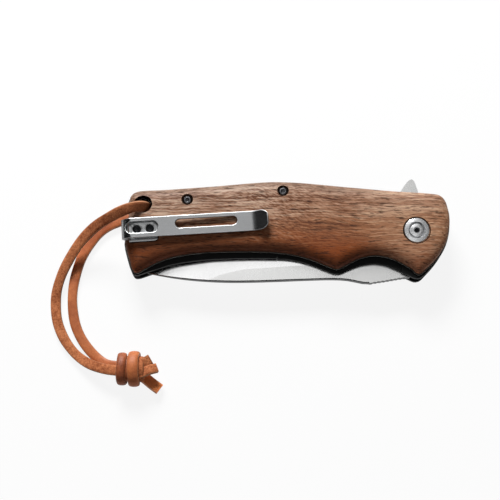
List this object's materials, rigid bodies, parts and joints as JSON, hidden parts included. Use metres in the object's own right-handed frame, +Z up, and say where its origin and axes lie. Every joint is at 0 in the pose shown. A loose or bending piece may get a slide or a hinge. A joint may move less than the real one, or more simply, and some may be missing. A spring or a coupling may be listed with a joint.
{
  "type": "folding pocket knife",
  "caption": "Closed folding pocket knife with curved walnut scales, dark liners, a flipper, a folded steel pocket clip and a knotted leather lanyard.",
  "frame": {"origin": "centre of the pivot's flush head on the show side, which is the face that the knife lies on", "axes": "+X towards the pivot end of the handle, +Y towards the handle's spine, +Z up towards the side with the pocket clip"},
  "size_m": [0.1499, 0.0809, 0.0195],
  "materials": {
    "walnut": "oiled walnut with dark pores along the handle",
    "satin_edge": "satin sheet",
    "black_coat": "matt black coating",
    "blade_steel": "fine satin ground steel",
    "bright_steel": "turned bright steel",
    "clip_steel": "tumbled stainless steel",
    "dark_steel": "dark oxidised steel",
    "bronze": "plain bronze",
    "suede": "rough suede side",
    "smooth_leather": "smooth waxed side"
  },
  "bodies": {
    "handle": {"clip_side_scale": "walnut", "show_side_scale": "walnut", "clip_side_backing": "satin_edge", "show_side_backing": "satin_edge", "clip_side_liner": "black_coat", "show_side_liner": "black_coat", "pivot_barrel": "bright_steel", "pivot_collar": "bright_steel", "pivot_screw": "bright_steel", "clip_side_washer": "bronze", "show_side_washer": "bronze", "stop_pin": "bright_steel", "back_spacer": "black_coat", "clip_side_screw_front": "dark_steel", "clip_side_screw_rear": "dark_steel", "show_side_screw_front": "dark_steel", "show_side_screw_rear": "dark_steel", "clip_plate": "clip_steel", "clip_screw_front": "dark_steel", "clip_screw_rear": "dark_steel", "lanyard_outer_strand": "suede", "lanyard_inner_strand": "smooth_leather", "lanyard_knot": "smooth_leather"},
    "blade": {"blade": "blade_steel"},
    "lock_bar": {"lock_bar": "black_coat", "detent_ball": "bright_steel"},
    "clip_arm": {"clip_arm": "clip_steel"}
  },
  "joints": [
    {"name": "blade_pivot", "type": "hinge", "parent": "handle", "child": "blade", "pos_m": [0, 0, 0.0079], "axis": [0, 0, 1], "range_deg": [0, 180]},
    {"name": "lock_bar_lift", "type": "hinge", "parent": "handle", "child": "lock_bar", "pos_m": [-0.0515, -0.008, 0.0105], "axis": [0, -1, 0], "range_deg": [0, 0.45], "stiffness_Nm_per_rad": 5},
    {"name": "clip_flex", "type": "hinge", "parent": "handle", "child": "clip_arm", "pos_m": [-0.10712, 0, 0.01555], "axis": [0.0698, -0.9976, 0], "range_deg": [0, 3], "stiffness_Nm_per_rad": 8}
  ]
}
